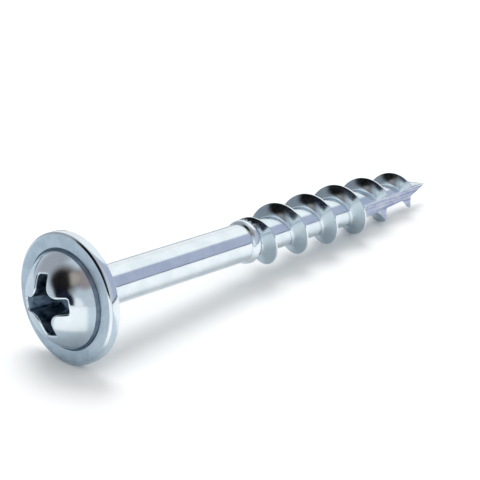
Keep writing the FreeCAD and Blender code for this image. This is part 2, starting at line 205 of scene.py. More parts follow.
@dataclass
class CrossRecess:
    """Tapered cross recess with rounded lobes, a rounded lip and a drill cone in its floor."""

    span: float = 4.7
    floor_span: float = 2.4
    wing_width: float = 1.05
    floor_wing_width: float = 0.7
    lobe: float = 0.85
    floor_lobe: float = 0.45
    wing_corner: float = 0.16
    floor_wing_corner: float = 0.096
    depth: float = 2.3
    lip: float = 0.14
    cone_radius: float = 0.56
    cone_depth: float = 0.3
    turn: float = 76.0
    wall_levels: int = 8
    lip_levels: int = 5

    @property
    def mouth(self) -> np.ndarray:
        """Outline at the height of the crown, as rows of y and z."""
        return self._outline(self.span / 2, self.wing_width / 2, self.lobe, self.wing_corner)

    @property
    def floor(self) -> np.ndarray:
        """Outline of the floor, as rows of y and z."""
        return self._outline(
            self.floor_span / 2, self.floor_wing_width / 2, self.floor_lobe, self.floor_wing_corner
        )

    def _outline(self, reach: float, half_width: float, lobe: float, corner: float) -> np.ndarray:
        """Outline of the cross at one depth.

        Args:
            reach: Centre to the end of a wing.
            half_width: Half the width of a wing.
            lobe: Radius of the lobe between two wings.
            corner: Radius of the corners of the wing's end.

        Returns:
            Rows of y and z, anticlockwise, with the first in the middle of a wing's end.
        """
        inner = half_width + lobe
        end = [(reach, across) for across in np.linspace(0, half_width - corner, 4)]
        bend = arc((reach - corner, half_width - corner), corner, 0, 90, 3)[1:]
        side = [(along, half_width) for along in np.linspace(reach - corner, inner, 5)[1:]]
        bow = arc((inner, inner), lobe, 270, 225, 10)[1:]
        octant = np.array(end + bend + side + bow)
        quadrant = np.concatenate([octant, octant[-2:0:-1, ::-1]])
        turns = [math.radians(self.turn) + quarter * math.pi / 2 for quarter in range(4)]
        return np.concatenate(
            [quadrant @ np.array([[math.cos(t), math.sin(t)], [-math.sin(t), math.cos(t)]]) for t in turns]
        )


@dataclass
class Head:
    """Raised round head on a washer flange, with a thin groove at its foot and a hollow under it."""

    flange_diameter: float = 8.98
    flange_thickness: float = 0.8
    dome_diameter: float = 6.8
    dome_height: float = 2.05
    side_radius: float = 3.4
    crown_radius: float = 6.0
    crown_ring: float = 2.45
    # Painted shade: the dome's side within this band above the flange, and the groove, are coloured dark.
    painted_shade_band: float = 0.2
    groove_depth: float = 0.04
    groove_floor: Span = (0.015, 0.045)
    groove_edge: float = 0.08
    rim_round: float = 0.14
    bevel_width: float = 0.12
    bevel_depth: float = 0.07
    bevel_corner: float = 0.06
    crease: float = 0.02
    flat_start: float = 0.3
    flat_end: float = 0.1
    bevel_lead: float = 0.015
    hollow_lead: float = 0.05
    edge_rounds: int = 12
    under_hollow: float = 1.8
    shank_diameter: float = 2.8
    recess: CrossRecess = field(default_factory=CrossRecess)

    @property
    def crown(self) -> float:
        """Place of the crown along the axis."""
        return -self.flange_thickness - self.dome_height

    @property
    def side_centre(self) -> np.ndarray:
        """Centre of the side's arc, which touches the crown's arc and ends on the flange.

        Returns:
            Its x and its distance from the axis.
        """
        edge = np.array([-self.flange_thickness, self.dome_diameter / 2])
        way = np.array([self.crown + self.crown_radius, 0.0]) - edge
        gap = np.linalg.norm(way)
        along = (self.side_radius**2 - (self.crown_radius - self.side_radius) ** 2 + gap**2) / (2 * gap)
        aside = math.sqrt(self.side_radius**2 - along**2)
        return edge + (along * way + aside * np.array([way[1], -way[0]])) / gap

    @property
    def _touch(self) -> float:
        """Distance from the axis at which the crown's arc touches the side's arc."""
        return self.side_centre[1] * self.crown_radius / (self.crown_radius - self.side_radius)

    def drop(self, radius: np.ndarray) -> np.ndarray:
        """How far the dome lies below its top.

        Args:
            radius: Distances from the axis.

        Returns:
            The drop at each distance.
        """
        x, y = self.side_centre
        crown = self.crown_radius - np.sqrt(self.crown_radius**2 - radius**2)
        side = x - self.crown - np.sqrt(self.side_radius**2 - (radius - y) ** 2)
        return np.where(radius < self._touch, crown, side)

    def steepness(self, radius: np.ndarray) -> np.ndarray:
        """Slope of the dome, as drop over distance.

        Args:
            radius: Distances from the axis.

        Returns:
            The slope at each distance.
        """
        y = self.side_centre[1]
        crown = radius / np.sqrt(self.crown_radius**2 - radius**2)
        side = (radius - y) / np.sqrt(self.side_radius**2 - (radius - y) ** 2)
        return np.where(radius < self._touch, crown, side)

    def build(self, skin: Skin) -> tuple[np.ndarray, np.ndarray]:
        """Add the recess, the crown, the flange and the hollow under it.

        Args:
            skin: Surface that gets the rings.

        Returns:
            The last ring, where the plain shank begins, and the angles of its points.
        """
        ring, lip_end = self._build_recess(skin)
        angles = np.unwrap(np.arctan2(lip_end[:, 2], lip_end[:, 1]))
        ring = self._build_crown(skin, ring, lip_end, angles)
        for outline, zone in self._outside():
            for x, radius in outline:
                level = skin.add(rings_around(x, radius, angles))
                skin.join(level, ring, zone)
                ring = level
        return ring, angles

    def _lip(self, mouth: np.ndarray, floor: np.ndarray) -> tuple[np.ndarray, np.ndarray, np.ndarray]:
        """Find where the walls of the recess meet the dome, and the two edges of the lip there.

        Args:
            mouth: Outline of the recess at the height of the crown.
            floor: Outline of its floor.

        Returns:
            Points of the lip's lower edge on the wall, of the sharp edge that the lip rounds, and of the
            lip's outer edge on the dome.
        """
        depth, lip = self.recess.depth, self.recess.lip
        share = np.zeros(len(mouth))
        for _ in range(self.edge_rounds):
            level = mouth + (floor - mouth) * share[:, None]
            share = self.drop(np.linalg.norm(level, axis=1)) / depth
        edge = np.column_stack([self.crown + share * depth, level])
        down = np.column_stack([np.full(len(floor), self.crown + depth), floor]) - edge
        down /= np.linalg.norm(down, axis=1)[:, None]

        along = np.roll(level, -1, axis=0) - np.roll(level, 1, axis=0)
        outward = np.column_stack([along[:, 1], -along[:, 0]])
        outward /= np.linalg.norm(outward, axis=1)[:, None]
        distance = np.linalg.norm(level, axis=1)
        slope = (outward * level).sum(axis=1) / distance * self.steepness(distance)
        away = np.column_stack([slope, outward])
        away /= np.linalg.norm(away, axis=1)[:, None]
        lip_end = edge + lip * away
        lip_end[:, 0] = self.crown + self.drop(np.linalg.norm(lip_end[:, 1:], axis=1))
        return edge + lip * down, edge, lip_end

    def _build_recess(self, skin: Skin) -> tuple[np.ndarray, np.ndarray]:
        """Add the cone, the floor, the walls and the lip.

        Args:
            skin: Surface that gets the rings.

        Returns:
            Indices and points of the lip's outer edge on the crown.
        """
        recess, floor = self.recess, self.recess.floor
        wall_top, edge, lip_end = self._lip(recess.mouth, floor)
        depth = self.crown + recess.depth
        bottom = np.column_stack([np.full(len(floor), depth), floor])
        angles = np.arctan2(floor[:, 1], floor[:, 0])

        apex = skin.add(np.array([[depth + recess.cone_depth, 0.0, 0.0]]))[0]
        ring = skin.add(rings_around(depth + recess.cone_depth / 2, recess.cone_radius / 2, angles))
        skin.fan(apex, ring, Zone.RECESS, pit=True)
        # The floor and walls take the recess finish, whose dark colour is painted shade.
        levels = [(rings_around(depth, recess.cone_radius, angles), Zone.RECESS)]
        for done in np.linspace(0, 1, recess.wall_levels):
            levels.append((bottom + (wall_top - bottom) * done, Zone.RECESS))
        for done in np.linspace(0, 1, recess.lip_levels + 1)[1:]:
            bend = (1 - done) ** 2 * wall_top + 2 * done * (1 - done) * edge + done**2 * lip_end
            levels.append((bend, Zone.BRIGHT))
        for points, zone in levels:
            level = skin.add(points)
            skin.join(level, ring, zone)
            ring = level
        return ring, lip_end

    def _build_crown(
        self, skin: Skin, ring: np.ndarray, lip_end: np.ndarray, angles: np.ndarray
    ) -> np.ndarray:
        """Add the crown, whose rings change from the cross to a circle.

        Args:
            skin: Surface that gets the rings.
            ring: Indices of the lip's outer edge.
            lip_end: Points of the lip's outer edge.
            angles: Angles of these points around the axis.

        Returns:
            The round ring where the dome's side begins.
        """
        circle = self.crown_ring * np.column_stack([np.cos(angles), np.sin(angles)])
        for done in np.linspace(0, 1, 9)[1:]:
            level = lip_end[:, 1:] + (circle - lip_end[:, 1:]) * done
            x = self.crown + self.drop(np.linalg.norm(level, axis=1))
            crown = skin.add(np.column_stack([x, level]))
            skin.join(crown, ring, Zone.BRIGHT)
            ring = crown
        return ring

    def _outside(self) -> list[tuple[Outline, Zone]]:
        """Half section from the dome's side over the flange to the shank.

        Returns:
            Stretches of the section as x and distance from the axis, each with its finish.
        """
        top, rim, dome = -self.flange_thickness, self.flange_diameter / 2, self.dome_diameter / 2
        side = [
            (float(self.crown + self.drop(radius)), radius)
            for radius in dome - (dome - self.crown_ring) * np.linspace(1, 0, 19)[1:] ** 1.4
        ]
        # The side within the band above the flange gets the groove finish, which is painted shade.
        bright_side = [point for point in side if point[0] < top - self.painted_shade_band]
        groove = side[len(bright_side):]
        groove += [(top + self.groove_depth, dome + width) for width in self.groove_floor]
        groove.append((top, dome + self.groove_edge))

        corner, bend = self.bevel_corner, self.rim_round
        bevel = rim - corner - self.bevel_width
        slope = self.bevel_depth / self.bevel_width
        flat_levels = np.linspace(dome + self.flat_start, bevel - self.flat_end, 4)
        flat = [(top, radius) for radius in (*flat_levels, bevel - self.bevel_lead)]
        bevel_levels = (bevel + self.crease, rim - corner)
        top_bevel = [(top + slope * (radius - bevel), radius) for radius in bevel_levels]
        top_bevel += [
            (top + self.bevel_depth + 0.35 * corner, rim - 0.4 * corner),
            (top + self.bevel_depth + corner, rim),
        ]
        hollow_radius = self.shank_diameter / 2 + self.under_hollow
        hollow_edge = hollow_radius + self.hollow_lead
        under = [(0.0, radius) for radius in np.linspace(rim - bend - self.crease, hollow_edge, 5)]
        return [
            (bright_side, Zone.BRIGHT),
            (groove, Zone.GROOVE),
            (flat, Zone.SATIN),
            (top_bevel, Zone.BRIGHT),
            (arc((-bend, rim - bend), bend, 90, 0, 6), Zone.BRIGHT),
            (under, Zone.SATIN),
            (arc((self.under_hollow, hollow_radius), self.under_hollow, 180, 270, 16), Zone.BRIGHT),
        ]


@dataclass
class Shank:
    """Plain shank and the rolled collar where the thread begins."""

    diameter: float = 2.8
    plain_start: float = 2.6
    plain_end_gap: float = 0.4
    plain_levels: int = 8
    collar_centre: float = 16.4
    collar_diameter: float = 3.245
    core_diameter: float = 2.5

    @property
    def collar_outline(self) -> np.ndarray:
        """Half section of the collar, from the shank to the core.

        Returns:
            Rows of x and radius.
        """
        shank, top, core = self.diameter / 2, self.collar_diameter / 2, self.core_diameter / 2
        rows = (
            (-0.62, shank), (-0.54, shank - 0.004), (-0.49, shank - 0.025), (-0.45, shank - 0.025),
            (-0.41, shank + 0.01), (-0.36, shank + 0.09), (-0.29, top - 0.075), (-0.2, top - 0.028),
            (-0.1, top - 0.006), (0.0, top), (0.1, top - 0.006), (0.2, top - 0.028), (0.29, top - 0.075),
            (0.36, top - 0.14), (0.42, core + 0.16), (0.48, core + 0.09), (0.55, core + 0.035),
            (0.64, core + 0.008), (0.75, core),
        )
        return np.array(rows) + (self.collar_centre, 0)

    def build(self, skin: Skin, ring: np.ndarray, angles: np.ndarray) -> np.ndarray:
        """Add the shank and the head side of the collar.

        Args:
            skin: Surface that gets the rings.
            ring: Indices of the ring where the shank begins.
            angles: Angles of a ring's points.

        Returns:
            The ring on top of the collar.
        """
        collar = self.collar_outline
        rising = [row for row in collar if row[0] <= self.collar_centre]
        plain_end = collar[0, 0] - self.plain_end_gap
        plain = [(x, self.diameter / 2) for x in np.linspace(self.plain_start, plain_end, self.plain_levels)]
        for x, radius in (*plain, *rising):
            level = skin.add(rings_around(x, radius, angles))
            skin.join(level, ring, Zone.BRIGHT)
            ring = level
        return ring


# Distances of the grid's rows from the middle of the ridge, closer together where its section bends.
RIDGE_ROWS = np.array(
    [0.033, 0.065, 0.085, 0.12, 0.165, 0.22, 0.285, 0.36, 0.45, 0.54, 0.63, 0.72, 0.85, 1.02, 1.22, 1.43]
)


@dataclass
class Thread:
    """Coarse right-hand thread on a core that tapers to a sharp point."""

    tip: float = 38.1
    tip_gap: float = 2.0
    start: float = 15.82
    start_angle: float = 342.0
    pitch: float = 3.4
    height: float = 0.862
    crest_width: float = 0.13
    crest_ease: float = 0.012
    root_width: float = 1.5
    hollowness: float = 1.75
    runin: float = 0.5
    runout: float = 0.35
    faded_width: float = 0.5
    taper_length: float = 9.4
    point_length: float = 2.6
    point_radius: float = 0.725
    blunt: float = 0.12
    blunt_steps: tuple[Span, ...] = ((0.45, 0.62), (0.8, 0.3))
    apex_gap: float = 0.005
    turns_before: int = 2
    spare_turns: int = 3
    shank: Shank = field(default_factory=Shank)

    def core(self, x: np.ndarray) -> np.ndarray:
        """Radius of the core, from the collar to the tip.

        Args:
            x: Places along the axis.

        Returns:
            The radius at each place.
        """
        core = self.shank.core_diameter / 2
        taper, point = self.tip - self.taper_length, self.tip - self.point_length
        return np.interp(x, (taper, point, self.tip), (core, self.point_radius, 0.0))

    def blank(self, x: np.ndarray) -> np.ndarray:
        """Radius of the blank under the thread, with the collar's tip side."""
        collar = self.shank.collar_outline
        return np.where(x < collar[-1, 0], np.interp(x, collar[:, 0], collar[:, 1]), self.core(x))

    def fullness(self, centre: np.ndarray) -> np.ndarray:
        """Share of its full height that the ridge has.

        Args:
            centre: Places of the ridge's middle along the axis.

        Returns:
            The share at each place.
        """
        rise = np.clip((centre - self.start) / (self.pitch * self.runin), 0, 1)
        sink = np.clip((self.tip - self.tip_gap - centre) / (self.pitch * self.runout), 0, 1)
        return rise**2 * (3 - 2 * rise) * sink**2 * (3 - 2 * sink)

    def radius(self, x: np.ndarray, aside: np.ndarray) -> np.ndarray:
        """Radius of the threaded surface.

        Args:
            x: Places along the axis.
            aside: Distance of each place from the middle of the ridge, along the axis.

        Returns:
            The radius at each place.
        """
        full = self.fullness(x - aside)
        width = self.faded_width + (1 - self.faded_width) * full
        land = self.crest_width / 2
        share = np.clip((np.abs(aside) / width - land) / (self.root_width / 2 - land), 0, 1)
        ease = self.crest_ease * np.clip(np.abs(aside) / width / land - 0.5, 0, 0.5)
        ridge = full * (self.height * (1 - share) ** self.hollowness - ease)
        return np.maximum(self.blank(x), self.core(x) + ridge)

    def build(self, skin: Skin, ring: np.ndarray, angles: np.ndarray) -> None:
        """Add the thread and the tip; the grid's rows follow the helix.

        Args:
            skin: Surface that gets the points.
            ring: Indices of the ring where the grid begins.
            angles: Angles of the ring's points.
        """
        first, last = self.shank.collar_centre, self.tip - self.blunt
        base, aside, turn_rows = self._rows(angles[0])
        x = base[:, None] + self.pitch * ((angles - angles[0]) / FULL_TURN)[None, :]
        radius = self.radius(np.clip(x, first, last), np.broadcast_to(aside[:, None], x.shape))
        end_ring = skin.add(rings_around(last, self.core(last), angles))

        index = np.full(x.shape, -1)
        index[x <= first] = np.broadcast_to(ring, x.shape)[x <= first]
        index[x >= last] = np.broadcast_to(end_ring, x.shape)[x >= last]
        inside = index < 0
        around = np.broadcast_to(angles, x.shape)
        index[inside] = skin.add(rings_around(x[inside], radius[inside], around[inside]))
        self._stitch(skin, index, turn_rows)
        self._close(skin, end_ring, angles)

    def _rows(self, first_angle: float) -> tuple[np.ndarray, np.ndarray, int]:
        """Rows of the grid, from before the collar to past the tip.

        Args:
            first_angle: Angle of the grid's first column.

        Returns:
            Place of each row along the axis in the first column, its distance from the middle of the ridge,
            and the number of rows to a turn.
        """
        asides = np.concatenate([-RIDGE_ROWS[::-1], [0.0], RIDGE_ROWS, [self.pitch / 2]])
        turned = ((first_angle - math.radians(self.start_angle)) / FULL_TURN) % 1
        crest = self.start + self.pitch * turned
        length = self.tip - self.blunt - self.shank.collar_centre
        turns = math.ceil(length / self.pitch) + self.spare_turns
        start = crest - self.turns_before * self.pitch
        base = start + np.add.outer(self.pitch * np.arange(turns), asides).ravel()
        return base, np.tile(asides, turns), len(asides)

    @staticmethod
    def _stitch(skin: Skin, index: np.ndarray, turn_rows: int) -> None:
        """Fill the grid with faces; its last column meets the first one a turn further.

        Args:
            skin: Surface that gets the faces.
            index: Indices of the grid's points.
            turn_rows: Number of rows to a turn.
        """
        rows, columns = index.shape
        for row in range(rows - 1):
            for column in range(columns):
                after, skip = (column + 1, 0) if column + 1 < columns else (0, turn_rows)
                if row + 1 + skip < rows:
                    corners = (
                        index[row, column],
                        index[row + skip, after],
                        index[row + 1 + skip, after],
                        index[row + 1, column],
                    )
                    skin.face(tuple(int(corner) for corner in corners), Zone.THREAD)

    def _close(self, skin: Skin, ring: np.ndarray, angles: np.ndarray) -> None:
        """Close the tip with a slightly blunt end.

        Args:
            skin: Surface that gets the rings.
            ring: Indices of the ring where the blunt end begins.
            angles: Angles of the ring's points.
        """
        start = self.tip - self.blunt
        for share, size in self.blunt_steps:
            level = skin.add(rings_around(start + self.blunt * share, self.core(start) * size, angles))
            skin.join(level, ring, Zone.THREAD)
            ring = level
        apex = skin.add(np.array([[self.tip - self.apex_gap, 0.0, 0.0]]))[0]
        skin.fan(apex, ring, Zone.THREAD, pit=False)


@dataclass
class AugerFlute:
    """V-shaped flute that is milled through the last turns of the thread."""

    tip: float = 38.1
    length: float = 9.4
    opening: float = 100.0
    start_offset: float = 0.5
    tip_offset: float = 0.06
    direction: float = 190.0
    reach: float = 3.4
    marked_width: float = 2.6
    scratch_depth: float = 0.012
    scratch_pitch: float = 0.075
    overrun: float = 0.4
    seed: int = 7

    def _section(self) -> np.ndarray:
        """Section of the cutting body, with the marks of the mill on its two faces.

        Returns:
            Rows of distance outwards and aside, clockwise, from one far corner to the other.
        """
        draw = np.random.default_rng(self.seed)
        half = math.radians(self.opening / 2)
        marks = int(self.marked_width / self.scratch_pitch)
        steps = np.cumsum(draw.uniform(0.5, 1.5, marks) * self.scratch_pitch)
        walls = []
        for side in (-1, 1):
            depths = draw.uniform(0, self.scratch_depth, marks)
            out = steps * math.cos(half) + depths * math.sin(half)
            across = side * (steps * math.sin(half) - depths * math.cos(half))
            far = (self.reach, side * self.reach * math.tan(half))
            walls.append([*zip(out, across), far])
        return np.array([*reversed(walls[0]), (0.0, 0.0), *walls[1]])

    def cutter(self, lay: Lay) -> bpy.types.Mesh:
        """Make the closed body that cuts the flute.

        Args:
            lay: Where the screw lies.

        Returns:
            The mesh of the cutting body.
        """
        section = self._section()
        angle = math.radians(self.direction)
        slope = (self.tip_offset - self.start_offset) / self.length
        skin = Skin()
        rings = []
        for x in (self.tip - self.length, self.tip + self.overrun):
            offset = self.start_offset + slope * (x - self.tip + self.length)
            out, across = (section + (offset, 0)).T
            y = out * math.cos(angle) - across * math.sin(angle)
            z = out * math.sin(angle) + across * math.cos(angle)
            rings.append(skin.add(np.column_stack([np.full(len(y), x), y, z])))
        head_end, tip_end = rings
        skin.join(head_end, tip_end, Zone.MILLED)
        skin.face(tuple(int(corner) for corner in head_end), Zone.MILLED)
        skin.face(tuple(int(corner) for corner in tip_end[::-1]), Zone.MILLED)
        return skin.mesh("flute_cutter", lay)


class NodeGraph:
    """Short calls to fill a node tree."""

    def __init__(self, tree: bpy.types.NodeTree) -> None:
        """Keep the tree and empty it.

        Args:
            tree: Node tree of a material or the world.
        """
        self.tree = tree
        tree.nodes.clear()

    def node(
        self, kind: str, settings: dict | None = None, inputs: dict | None = None
    ) -> bpy.types.Node:
        """Add a node.

        Args:
            kind: Blender's name for the node.
            settings: Properties of the node.
            inputs: Values, or sockets to link, by the input's name or place.

        Returns:
            The new node.
        """
        node = self.tree.nodes.new(kind)
        for name, value in (settings or {}).items():
            setattr(node, name, value)
        for name, value in (inputs or {}).items():
            if isinstance(value, Socket):
                self.tree.links.new(value, node.inputs[name])
            else:
                node.inputs[name].default_value = value
        return node

    def ramp(self, value: Socket, low: float, high: float, to: Span = (0.0, 1.0)) -> Socket:
        """Carry a range of values smoothly to another range.

        Args:
            value: Socket with the value.
            low: Value that becomes the first of the target range.
            high: Value that becomes the second.
            to: Target range.

        Returns:
            The socket with the result.
        """
        inputs = {"Value": value, "From Min": low, "From Max": high, "To Min": to[0], "To Max": to[1]}
        return self.node("ShaderNodeMapRange", {"interpolation_type": "SMOOTHSTEP"}, inputs).outputs["Result"]

    def mix(self, share: Socket, first: Colour | Socket, second: Colour | Socket) -> Socket:
        """Mix two colours.

        Args:
            share: Socket with the share of the second colour.
            first: Colour or socket.
            second: Colour or socket.

        Returns:
            The socket with the colour.
        """
        inputs = {0: share}
        for place, value in ((6, first), (7, second)):
            inputs[place] = value if isinstance(value, Socket) else (*value, 1.0)
        return self.node("ShaderNodeMix", {"data_type": "RGBA"}, inputs).outputs[2]

    def math(self, operation: str, first: float | Socket, second: float | Socket = 0.0) -> Socket:
        """Add a sum, product or the like of two values.

        Args:
            operation: Blender's name for the operation.
            first: Value or socket.
            second: Value or socket.

        Returns:
            The socket with the result.
        """
        return self.node("ShaderNodeMath", {"operation": operation}, {0: first, 1: second}).outputs[0]

    def blend(self, first: Socket, second: Socket, share: float) -> Socket:
        """Add two values in shares.

        Args:
            first: Socket of the first value.
            second: Socket of the second value.
            share: Share of the second value.

        Returns:
            The socket with the sum.
        """
        return self.math(
            "ADD", self.math("MULTIPLY", first, 1 - share), self.math("MULTIPLY", second, share)
        )

    def vector(self, operation: str, *inputs: Place | Socket) -> bpy.types.Node:
        """Add an operation on vectors.

        Args:
            operation: Blender's name for the operation.
            inputs: Vectors or sockets.

        Returns:
            The new node.
        """
        return self.node("ShaderNodeVectorMath", {"operation": operation}, dict(enumerate(inputs)))

    def dot(self, first: Socket, second: Place) -> Socket:
        """Add the dot product of two vectors."""
        return self.vector("DOT_PRODUCT", first, second).outputs["Value"]


@dataclass(frozen=True)
class ZincFinish:
    """Zinc plating on steel: its tint, its gloss, its clouds and the direction of its fine grain, with
    painted shade on faces that look along the axis where asked.
    """

    name: str
    pale: Colour
    deep: Colour
    roughness: Span
    cloud_size: float
    grain: Place
    bump: float
    # Painted shade on faces that look along the axis: how far their colour goes towards the dark tint below.
    flank_painted_shade: float = 0.0
    flank_shade_colour: Colour = (0.08, 0.20, 0.28)
    flank_slope: Span = (0.15, 0.75)
    streaks: float = 0.0
    grain_in_gloss: float = 0.4
    grain_depth: float = 0.02
    noise_range: Span = (0.35, 0.65)

    def material(self, lay: Lay) -> bpy.types.Material:
        """Make the finish as a node material.

        Args:
            lay: Where the screw lies, so that the grain follows its axis.

        Returns:
            The material.
        """
        material = bpy.data.materials.new(self.name)
        material.use_nodes = True
        graph = NodeGraph(material.node_tree)
        cloud, grain = self._noise(graph, lay)
        tint = graph.ramp(graph.blend(cloud, grain, self.streaks), *self.noise_range)
        colour = graph.mix(tint, self.deep, self.pale)
        # Painted shade on the thread's flanks.
        if self.flank_painted_shade:
            colour = self._paint_flank_shade(graph, colour, lay)
        mottle = graph.blend(cloud, grain, self.grain_in_gloss)
        roughness = graph.ramp(mottle, *self.noise_range, self.roughness)
        relief = {"Height": grain, "Strength": self.bump, "Distance": self.grain_depth * MILLIMETRE}
        bump = graph.node("ShaderNodeBump", None, relief).outputs[0]
        shader = graph.node(
            "ShaderNodeBsdfPrincipled", None,
            {"Base Color": colour, "Metallic": 1.0, "Roughness": roughness, "Normal": bump},
        )
        graph.node("ShaderNodeOutputMaterial", None, {"Surface": shader.outputs[0]})
        return material

    def _noise(self, graph: NodeGraph, lay: Lay) -> tuple[Socket, Socket]:
        """Add the soft clouds and the fine grain.

        Args:
            graph: Graph of the material.
            lay: Where the screw lies.

        Returns:
            The sockets with the clouds and the grain.
        """
        place = graph.node("ShaderNodeTexCoord").outputs["Object"]
        turn = (0.0, -math.radians(lay.tip_down), 0.0)
        along = graph.node("ShaderNodeMapping", None, {"Vector": place, "Rotation": turn}).outputs[0]
        clouds = {
            "Vector": along, "Scale": 1 / (self.cloud_size * MILLIMETRE), "Detail": 4.0, "Roughness": 0.6
        }
        stretched = graph.node("ShaderNodeMapping", None, {"Vector": along, "Scale": self.grain}).outputs[0]
        grains = {"Vector": stretched, "Scale": 1 / MILLIMETRE, "Detail": 3.0}
        cloud, grain = (graph.node("ShaderNodeTexNoise", None, noise) for noise in (clouds, grains))
        return cloud.outputs[0], grain.outputs[0]

    def _paint_flank_shade(self, graph: NodeGraph, colour: Socket, lay: Lay) -> Socket:
        """Paint shade into the colour where the surface faces along the axis, so that the thread's flanks
        render darker.

        Args:
            graph: Graph of the material.
            colour: Socket with the colour.
            lay: Where the screw lies.

        Returns:
            The socket with the darkened colour.
        """
        tilt = math.radians(lay.tip_down)
        normal = graph.node("ShaderNodeNewGeometry").outputs["Normal"]
        facing = graph.math("ABSOLUTE", graph.dot(normal, (math.cos(tilt), 0.0, -math.sin(tilt))))
        flank = graph.ramp(facing, *self.flank_slope, (0.0, self.flank_painted_shade))
        return graph.mix(flank, colour, self.flank_shade_colour)


FINISHES = {
    Zone.BRIGHT: ZincFinish(
        "bright_zinc", pale=(0.79, 0.85, 0.89), deep=(0.71, 0.78, 0.83), roughness=(0.07, 0.14),
        cloud_size=1.6, grain=(0.3, 6.0, 6.0), bump=0.05,
    ),
    Zone.SATIN: ZincFinish(
        "satin_zinc", pale=(0.60, 0.68, 0.75), deep=(0.50, 0.58, 0.65), roughness=(0.26, 0.38),
        cloud_size=0.9, grain=(3.0, 3.0, 3.0), bump=0.12,
    ),
    # Painted shade: the recess walls and floor are coloured near black for the shade inside the recess.
    Zone.RECESS: ZincFinish(
        "recess_painted_shade", pale=(0.30, 0.40, 0.50), deep=(0.06, 0.10, 0.15), roughness=(0.25, 0.5),
        cloud_size=0.7, grain=(1.0, 5.0, 5.0), bump=0.2,
    ),
    # Painted shade: the thread's flanks are coloured darker by the way they face.
    Zone.THREAD: ZincFinish(
        "rolled_zinc_flank_shade", pale=(0.78, 0.85, 0.89), deep=(0.68, 0.76, 0.82), roughness=(0.10, 0.20),
        cloud_size=1.1, grain=(0.4, 7.0, 7.0), bump=0.08, flank_painted_shade=0.38,
    ),
    Zone.MILLED: ZincFinish(
        "milled_flute", pale=(0.95, 0.97, 1.0), deep=(0.52, 0.58, 0.70), roughness=(0.24, 0.40),
        cloud_size=0.5, grain=(0.10, 9.0, 9.0), bump=0.8, streaks=0.8,
    ),
    # Painted shade: a dark ring at the dome's foot, in place of the shade in that corner.
    Zone.GROOVE: ZincFinish(
        "groove_painted_shade", pale=(0.24, 0.30, 0.37), deep=(0.16, 0.21, 0.27), roughness=(0.3, 0.45),
        cloud_size=0.6, grain=(3.0, 3.0, 3.0), bump=0.1,
    ),
}


@dataclass
class PocketScrew:
    """The whole screw as one piece."""

    lay: Lay = field(default_factory=Lay)
    head: Head = field(default_factory=Head)
    thread: Thread = field(default_factory=Thread)
    flute: AugerFlute = field(default_factory=AugerFlute)
    sharp_angle: float = 34.0

    def build(self) -> bpy.types.Object:
        """Make the screw, cut its flute and dress it.

        Returns:
            The screw as one mesh object.
        """
        skin = Skin()
        ring, angles = self.head.build(skin)
        ring = self.thread.shank.build(skin, ring, angles)
        self.thread.build(skin, ring, angles)
        materials = [FINISHES[zone].material(self.lay) for zone in Zone]
        blank = self._object(skin.mesh("screw_blank", self.lay), materials)
        cutter = self._object(self.flute.cutter(self.lay), materials)
        mesh = self._cut(blank, cutter)
        mesh.name = "pocket_hole_screw"
        mesh.shade_smooth()
        mesh.set_sharp_from_angle(angle=math.radians(self.sharp_angle))
        smooth = [polygon.material_index != Zone.MILLED.value for polygon in mesh.polygons]
        mesh.polygons.foreach_set("use_smooth", smooth)
        screw = bpy.data.objects.new("pocket_hole_screw", mesh)
        bpy.context.scene.collection.objects.link(screw)
        return screw

    @staticmethod
    def _object(mesh: bpy.types.Mesh, materials: list[bpy.types.Material]) -> bpy.types.Object:
        """Link a mesh as an object with all finishes.

        Args:
            mesh: Mesh of the object.
            materials: Finishes in the order of the zones.

        Returns:
            The new object.
        """
        for material in materials:
            mesh.materials.append(material)
        item = bpy.data.objects.new(mesh.name, mesh)
        bpy.context.scene.collection.objects.link(item)
        return item

    @staticmethod
    def _cut(blank: bpy.types.Object, cutter: bpy.types.Object) -> bpy.types.Mesh:
        """Cut one body from another and remove both.

        Args:
            blank: Body that is cut.
            cutter: Body that is taken away.

        Returns:
            The mesh that is left, with the cutter's finish on its new faces.
        """
        cut = blank.modifiers.new("flute", "BOOLEAN")
        cut.operation, cut.solver, cut.object = "DIFFERENCE", "EXACT", cutter
        cut.material_mode = "TRANSFER"
        bpy.context.view_layer.update()
        mesh = bpy.data.meshes.new_from_object(blank.evaluated_get(bpy.context.evaluated_depsgraph_get()))
        for used in (blank, cutter):
            bpy.data.objects.remove(used)
        return mesh


